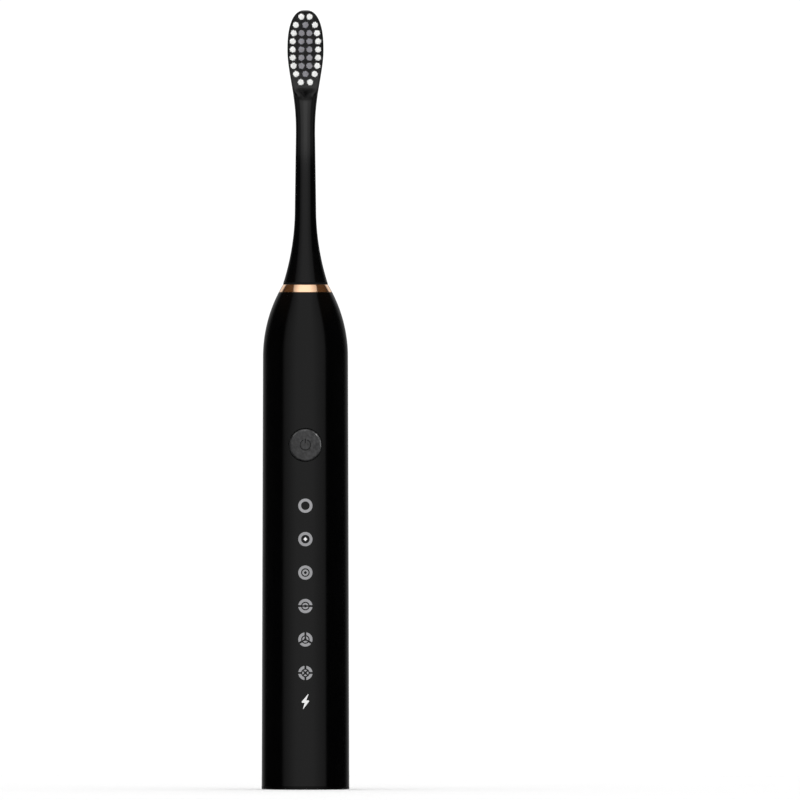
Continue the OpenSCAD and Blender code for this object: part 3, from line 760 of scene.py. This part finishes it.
def moulded(name, colour, roughness, specular=0.5, grain=0.006 * MM, grain_scale=2600, tone=0.12,
            tone_scale=90, spread=0.06):
    """Moulded plastic or rubber: fine grain, broad patches of handling polish, and slight tone change."""
    n = Nodes(name)
    n.set(specular=specular)
    pale = tuple(c * (1 + tone) for c in colour)
    deep = tuple(c * (1 - tone) for c in colour)
    n.link(n.mix(n.remap(n.noise(tone_scale, 4), 0, 1), deep, pale), n.shader.inputs["Base Color"])
    patches = n.noise(90, 4)
    worn = n.noise(340, 6, roughness=0.65)
    polish = n.add("ShaderNodeMath", operation="MULTIPLY")
    n.link(patches, polish.inputs[0])
    n.link(worn, polish.inputs[1])
    n.link(n.remap(polish.outputs[0], roughness - spread, roughness + spread, 0.12, 0.42),
           n.shader.inputs["Roughness"])
    n.link(n.bump(n.noise(grain_scale, 2), grain), n.shader.inputs["Normal"])
    return n.material


def metal(name, colour, roughness, brushed=(1, 1, 1), grain=0.003 * MM, spread=0.05):
    """Metal with drawn or turned marks along the direction that brushed leaves long, and dull patches."""
    n = Nodes(name)
    n.set(metallic=1.0)
    broad = n.noise(120, 5)
    marks = n.noise(1500, 3, stretch=brushed)
    pale = tuple(min(1, c * 1.05) for c in colour)
    deep = tuple(c * 0.93 for c in colour)
    n.link(n.mix(n.remap(broad, 0, 1), deep, pale), n.shader.inputs["Base Color"])
    n.link(n.remap(marks, roughness - spread, roughness + spread), n.shader.inputs["Roughness"])
    n.link(n.bump(marks, grain), n.shader.inputs["Normal"])
    return n.material


def nylon(name, colour, subsurface, depth=0.86):
    """Nylon filament: milky, slightly glossy, and darker by up to depth from filament to filament."""
    n = Nodes(name)
    n.set(subsurface=subsurface, specular=0.4)
    n.shader.inputs["Subsurface Radius"].default_value = (0.4 * MM,) * 3
    n.shader.inputs["Subsurface Scale"].default_value = 1.0
    across = n.noise(3200, 2, stretch=(1, 0.02, 1))
    pale = tuple(min(1, c * 1.04) for c in colour)
    deep = tuple(c * depth for c in colour)
    n.link(n.mix(n.remap(across, 0, 1), deep, pale), n.shader.inputs["Base Color"])
    n.link(n.remap(across, 0.28, 0.42), n.shader.inputs["Roughness"])
    n.link(n.bump(n.noise(5200, 2), 0.002 * MM), n.shader.inputs["Normal"])
    return n.material


def paint(obj, material):
    """Gives obj the one material."""
    if not obj.material_slots:
        obj.data.materials.append(material)
    for s in obj.material_slots:
        s.material = material


BLACK = (0.0005, 0.0005, 0.00055)

slot_materials = {
    "shell_black": moulded("gloss_black_shell", BLACK, 0.15, specular=0.165, grain=0.0006 * MM, spread=0.03),
    "brush_black": moulded("satin_black_brush", (0.0008, 0.0008, 0.0009), 0.2, specular=0.165,
                           grain=0.001 * MM, spread=0.04),
    "rose_gold": metal("rose_gold_plate", (0.97, 0.62, 0.40), 0.09, grain=0.0004 * MM, spread=0.03),
    "symbol_grey": moulded("symbol_grey", (0.29, 0.29, 0.30), 0.38, specular=0.3, tone=0.1),
    "symbol_white": moulded("symbol_white", (0.82, 0.82, 0.82), 0.38, specular=0.3, tone=0.05),
    "button_rubber": moulded("button_rubber", (0.015, 0.015, 0.0155), 0.38, specular=0.27, grain=0.06 * MM,
                             grain_scale=1700, tone=0.6, tone_scale=1100, spread=0.08),
    # Near-black: the boot's lap shows between ring and brush head as a dark line, partly the boot's own black
    # silicone and partly painted shade standing in for the shadowed seam
    "seal_silicone": moulded("seal_silicone", (0.004, 0.004, 0.0042), 0.55, specular=0.12, grain=0.01 * MM),
    "black_plastic": moulded("matte_black", (0.012, 0.012, 0.013), 0.5, grain=0.012 * MM),
    "clear_plastic": moulded("clear_guide", (0.85, 0.89, 0.92), 0.12, grain=0.001 * MM, tone=0.03),
    "chassis_plastic": moulded("chassis_plastic", (0.045, 0.05, 0.055), 0.5, grain=0.014 * MM),
    "board_green": moulded("solder_mask", (0.012, 0.09, 0.035), 0.34, grain=0.008 * MM, tone=0.3),
    "chip_black": moulded("chip_epoxy", (0.012, 0.012, 0.013), 0.55, grain=0.01 * MM),
    "component_tan": moulded("component_ceramic", (0.32, 0.22, 0.12), 0.45, tone=0.3),
    "led_white": moulded("led_package", (0.88, 0.86, 0.74), 0.35, tone=0.06),
    "switch_white": moulded("switch_plunger_white", (0.7, 0.7, 0.7), 0.4),
    "screw_steel": metal("screw_zinc", (0.55, 0.56, 0.58), 0.32),
    "cell_can": metal("cell_can", (0.62, 0.62, 0.64), 0.3, brushed=(1, 1, 0.03)),
    "cell_wrap": moulded("cell_sleeve", (0.02, 0.13, 0.33), 0.3, grain=0.01 * MM),
    "nickel": metal("nickel_strip", (0.62, 0.6, 0.55), 0.28),
    "foam": moulded("foam", (0.05, 0.05, 0.05), 0.9, grain=0.15 * MM, grain_scale=1400),
    "lead_red": moulded("lead_red", (0.4, 0.02, 0.02), 0.4),
    "lead_yellow": moulded("lead_yellow", (0.6, 0.38, 0.02), 0.4),
    "motor_steel": metal("motor_can", (0.52, 0.53, 0.55), 0.3, brushed=(1, 1, 0.02)),
    "core_steel": metal("core_laminate", (0.24, 0.25, 0.26), 0.42, brushed=(0.05, 0.05, 1)),
    "copper": metal("enamelled_copper", (0.72, 0.28, 0.10), 0.3, brushed=(0.05, 0.05, 1)),
    "former_plastic": moulded("former_plastic", (0.62, 0.54, 0.33), 0.5),
    "bronze": metal("sintered_bronze", (0.55, 0.37, 0.15), 0.45),
    "magnet": metal("magnet_nickel", (0.5, 0.52, 0.54), 0.25),
    "o_ring_rubber": moulded("o_ring_rubber", (0.12, 0.025, 0.012), 0.5),
    "shaft_steel": metal("ground_steel", (0.66, 0.67, 0.69), 0.2, brushed=(1, 1, 0.03)),
    "hub_grey": moulded("hub_grey", (0.11, 0.12, 0.13), 0.5),
    "nylon_white": nylon("nylon_white", (0.93, 0.93, 0.92), 0.25),
    "nylon_grey": nylon("nylon_grey", (0.365, 0.36, 0.39), 0.15, depth=0.6),
    "anchor_brass": metal("anchor_brass", (0.7, 0.55, 0.22), 0.35),
}


# ---------- assembly ----------

random.seed(SEED)

made_pieces = [
    (make_shell(), "handle", "shell_black", ["handle_shell"]),
    (make_ring(), "handle", "rose_gold", ["trim_ring"]),
    (make_seal(), "handle", "seal_silicone", ["shaft_seal"]),
    (make_base_cap(), "handle", "shell_black", ["bottom_cap"]),
    (make_button(), "power_button", "button_rubber", ["power_button"]),
    (make_brush_body(), "brush_head", "brush_black", ["brush_head_body"]),
    (make_bristles("bristles_outer", OUTER_ROWS, r=0.088 * MM, trim=0.10 * MM, tip_r=1.03 * MM),
     "brush_head", "nylon_white", ["outer_tufts"]),
    (make_bristles("bristles_inner", INNER_ROWS, r=0.086 * MM, trim=0.16 * MM, tip_r=1.04 * MM),
     "brush_head", "nylon_grey", ["inner_tufts"]),
]
for piece, body, slot, nodes in made_pieces:
    paint(piece, slot_materials[slot])
    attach(piece, body)
    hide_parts(*nodes)

# The base is the shell's plastic with a duller finish
pieces = {piece.name: piece for piece, _, _, _ in made_pieces}
paint(pieces["base_cap"], moulded("satin_black_base", BLACK, 0.3, specular=0.085, grain=0.002 * MM))

node_slot = {s["node"]: s["material_slot"] for s in frame["record"]["subparts"]}
for node, obj in frame["nodes"].items():
    paint(obj, slot_materials[node_slot[node]])


# ---------- floor, light and camera ----------

def make_floor():
    """A white disc that takes the soft shadow and isn't mirrored in the object."""
    floor_r = 0.42
    n = Nodes("studio_floor")
    n.set(specular=0.1)
    n.link(n.mix(n.noise(30, 3), (0.90, 0.90, 0.90), (0.93, 0.93, 0.93)), n.shader.inputs["Base Color"])
    n.link(n.remap(n.noise(400, 2), 0.8, 0.95), n.shader.inputs["Roughness"])
    rim = [(x, y, 0) for x, y in circle(floor_r, 96)]
    floor = new_object("studio_floor", rim, [list(range(len(rim)))])
    paint(floor, n.material)
    floor.visible_glossy = False


def make_world():
    """White to the camera and for soft light. Reflections see a studio: a broad soft front panel, dark sides,
    dim panels behind, a warm glow overhead, and light from the floor behind."""
    front_level, rear_level, soft_level, seen_level = 1.773, 2.5, 1.12, 1.05
    world = bpy.data.worlds.new("studio")
    bpy.context.scene.world = world
    world.use_nodes = True
    tree = world.node_tree
    tree.nodes.clear()

    def add(kind, **settings):
        node = tree.nodes.new(kind)
        for key, value in settings.items():
            setattr(node, key, value)
        return node

    def math_node(operation, a, b=None):
        node = add("ShaderNodeMath", operation=operation)
        for i, value in enumerate((a, b)):
            if value is None:
                continue
            if isinstance(value, (int, float)):
                node.inputs[i].default_value = value
            else:
                tree.links.new(value, node.inputs[i])
        return node.outputs[0]

    def ramp(value, stops):
        node = add("ShaderNodeValToRGB")
        points = node.color_ramp.elements
        points.remove(points[1])
        points[0].position = stops[0][0]
        points[0].color = (*[stops[0][1]] * 3, 1)
        for place, level in stops[1:]:
            points.new(place).color = (level, level, level, 1)
        tree.links.new(value, node.inputs["Fac"])
        return node.outputs["Color"]

    direction = add("ShaderNodeSeparateXYZ")
    tree.links.new(add("ShaderNodeTexCoord").outputs["Generated"], direction.inputs[0])
    x, y, z = direction.outputs
    # Angle from straight in front of the object, in half turns, to the right and to the left
    around = math_node("DIVIDE", math_node("ARCTAN2", x, math_node("MULTIPLY", y, -1)), math.pi)
    behind = math_node("ABSOLUTE", around)
    height = math_node("ADD", math_node("MULTIPLY", z, 0.5), 0.5)
    # The front panel is wider high up, and dimmer from level upwards. Its stops are in degrees.
    widen = math_node("ADD", 1.0, ramp(z, [(0.6, 0.0), (0.725, 0.05), (0.77, 0.35), (0.85, 0.45)]))
    panel_place = math_node("ADD", math_node("MULTIPLY", math_node("DIVIDE", around, widen), 0.5), 0.5)
    panel_stops = [(-66, 0), (-59, 0.32), (-55, 0.45), (-46, 0.58), (-35, 0.78), (-24, 0.96), (0, 1.0),
                   (20, 0.97), (28, 0.83), (39, 0.67), (49, 0.56), (54, 0.5), (58, 0)]
    panel = ramp(panel_place, [(0.5 + turn / 360, level) for turn, level in panel_stops])
    panel_rise = ramp(height, [(0.1, 0.5), (0.25, 0.9), (0.4, 1.0), (0.48, 0.75), (0.95, 0.75),
                               (0.97, 0.22)])
    front = math_node("MULTIPLY", math_node("MULTIPLY", panel, panel_rise), front_level)
    rear_stops = [(118, 0), (130, 0.02), (142, 0.14), (155, 0.25), (168, 0.3), (171, 1.0)]
    rear = ramp(behind, [(turn / 180, level) for turn, level in rear_stops])
    rear_rise = ramp(z, [(0.12, 0.4), (0.32, 1.0)])
    high_rear = math_node("MULTIPLY", math_node("MULTIPLY", rear, rear_rise), rear_level)
    sky = ramp(z, [(0.35, 0.0), (0.55, 0.07), (0.9, 0.09), (0.95, 0.3)])
    warm_sky = add("ShaderNodeVectorMath", operation="MULTIPLY")
    tree.links.new(sky, warm_sky.inputs[0])
    warm_sky.inputs[1].default_value = (1.15, 0.68, 0.33)
    bounce_stops = [(95, 0.0), (120, 0.55), (150, 0.9), (180, 1.0)]
    bounce = math_node("MULTIPLY", ramp(height, [(0.4, 0.95), (0.48, 0.0)]),
                       ramp(behind, [(turn / 180, level) for turn, level in bounce_stops]))
    studio = add("ShaderNodeVectorMath", operation="MAXIMUM")
    tree.links.new(math_node("MAXIMUM", math_node("MAXIMUM", front, high_rear), bounce), studio.inputs[0])
    tree.links.new(warm_sky.outputs[0], studio.inputs[1])

    path = add("ShaderNodeLightPath")
    reflected = add("ShaderNodeBackground")
    tree.links.new(studio.outputs[0], reflected.inputs["Color"])
    soft = add("ShaderNodeBackground")
    soft.inputs["Color"].default_value = (1, 1, 1, 1)
    soft.inputs["Strength"].default_value = soft_level
    seen = add("ShaderNodeBackground")
    seen.inputs["Color"].default_value = (1, 1, 1, 1)
    seen.inputs["Strength"].default_value = seen_level
    unseen = add("ShaderNodeMixShader")
    tree.links.new(path.outputs["Is Glossy Ray"], unseen.inputs["Fac"])
    tree.links.new(soft.outputs[0], unseen.inputs[1])
    tree.links.new(reflected.outputs[0], unseen.inputs[2])
    whole = add("ShaderNodeMixShader")
    tree.links.new(path.outputs["Is Camera Ray"], whole.inputs["Fac"])
    tree.links.new(unseen.outputs[0], whole.inputs[1])
    tree.links.new(seen.outputs[0], whole.inputs[2])
    tree.links.new(whole.outputs[0], add("ShaderNodeOutputWorld").inputs["Surface"])


def add_light(name, kind, place, target, power):
    """A light at a place, aimed at a target, that the camera doesn't see."""
    data = bpy.data.lights.new(name, kind)
    data.energy = power
    light = bpy.data.objects.new(name, data)
    light.location = place
    light.rotation_euler = (Vector(target) - Vector(place)).to_track_quat("-Z", "Y").to_euler()
    light.visible_camera = False
    bpy.context.scene.collection.objects.link(light)
    return data


def make_lights():
    """Small lights, each for certain pieces only: an arc of panels round the neck, lamps for the button's
    rounded edge, two glints on the ring, and a soft panel in front of the bristles."""
    def light_only(data, names):
        lit = bpy.data.collections.new("lit_by_" + data.name)
        for name in names:
            lit.objects.link(pieces[name])
        bpy.data.objects[data.name].light_linking.receiver_collection = lit

    low, high, reach, width, full_power = 0.198, 0.221, 0.05, 0.0354, 0.0052
    for turn, share in ((-78, 0.25), (-39, 0.6), (0, 1.0), (39, 0.6), (78, 0.25)):
        a = math.radians(turn)
        place = Vector((reach * math.sin(a), -reach * math.cos(a), (low + high) / 2))
        panel = add_light(f"neck_panel_{turn + 90}", "AREA", place, (0, 0, place.z), full_power * share)
        panel.shape = "RECTANGLE"
        panel.size, panel.size_y = width, high - low
        light_only(panel, ["brush_body"])
    # Each lamp stands where the button's rounded edge mirrors it to the front, at one place round the edge
    button = Vector((0, -HANDLE_TOP_R, BUTTON_Z))
    rounding = math.radians(24)
    away = 0.15
    for turn, power in ((5, 0.3), (45, 0.55), (90, 0.4), (130, 0.2)):
        a = math.radians(turn)
        lean = math.asin(BUTTON_R * math.cos(a) / HANDLE_TOP_R)
        straight = Vector((math.sin(lean), -math.cos(lean), 0))
        outward = Vector((math.cos(a) * math.cos(lean), math.cos(a) * math.sin(lean), math.sin(a)))
        normal = straight * math.cos(rounding) + outward * math.sin(rounding)
        to_lamp = -2 * normal.y * normal + Vector((0, 1, 0))
        lamp = add_light(f"button_lamp_{turn}", "POINT", button + away * to_lamp, button, power)
        lamp.shadow_soft_size = 0.015
        light_only(lamp, ["button_cap"])
    # Two glints at the ring's sides, mirrored from behind
    ring = Vector((0, 0, RING_TOP_Z))
    a = math.radians(143)
    for side in (-1, 1):
        place = ring + away * Vector((side * math.sin(a), -math.cos(a), 0.36))
        glint = add_light(f"ring_panel_{side + 1}", "AREA", place, ring, 0.004)
        glint.shape = "RECTANGLE"
        glint.size, glint.size_y = 0.06, 0.05
        light_only(glint, ["trim_ring_polished"])
    middle_row = len(OUTER_ROWS) // 2
    head = Vector((0, 0, TUFT_TOP_Z - middle_row * TUFT_PITCH))
    fill = add_light("bristle_panel", "AREA", head + Vector((0.02, -0.3, 0.03)), head, 0.68)
    fill.size = 0.1
    light_only(fill, ["bristles_outer", "bristles_inner"])


def make_camera():
    """The photograph's view: level, from the front, the object left of the middle and filling the height."""
    frame_height = 0.24783
    distance = 11.0
    centre_x, centre_z = 0.02928, 0.1206
    data = bpy.data.cameras.new("camera")
    data.sensor_width = 36
    data.lens = 36 * distance / frame_height
    data.clip_start, data.clip_end = 0.1, 30
    camera = bpy.data.objects.new("camera", data)
    camera.location = (centre_x, -distance, centre_z)
    camera.rotation_euler = (math.pi / 2, 0, 0)
    bpy.context.scene.collection.objects.link(camera)
    bpy.context.scene.camera = camera


make_floor()
make_world()
make_lights()
make_camera()
bpy.context.scene.view_settings.view_transform = "Standard"
